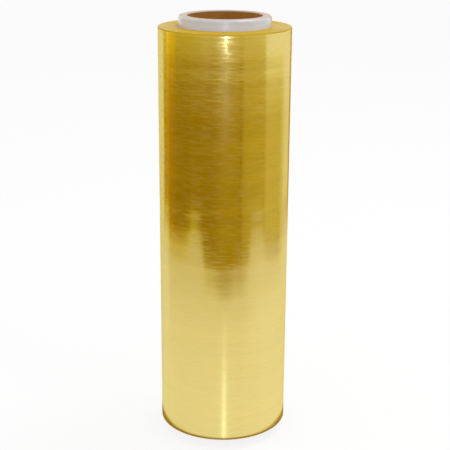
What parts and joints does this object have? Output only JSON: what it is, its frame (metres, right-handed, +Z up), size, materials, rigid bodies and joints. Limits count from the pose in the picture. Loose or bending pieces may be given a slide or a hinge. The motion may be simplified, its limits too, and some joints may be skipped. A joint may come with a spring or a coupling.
{
  "type": "roll of cling film",
  "caption": "Tall roll of glossy yellow-gold cling film on a brown cardboard core, with a pale moulded ring over each end of the core; stands on end.",
  "frame": {"origin": "middle of the bottom end ring's foot, where the roll's axis meets the surface that it stands on", "axes": "+Z up along the roll's axis; +X and +Y are alike, because the roll is round"},
  "size_m": [0.136, 0.136, 0.4522],
  "materials": {
    "core_board": "plain brown spiral-wound board",
    "wound_film": "tightly wound clear film with a yellow tint, glossy, with fine lines round the roll",
    "ring_plastic": "pale, slightly milky moulded plastic, satin gloss"
  },
  "bodies": {
    "root": {"core_tube": "core_board", "film_roll": "wound_film", "top_end_ring": "ring_plastic", "bottom_end_ring": "ring_plastic"}
  },
  "joints": []
}
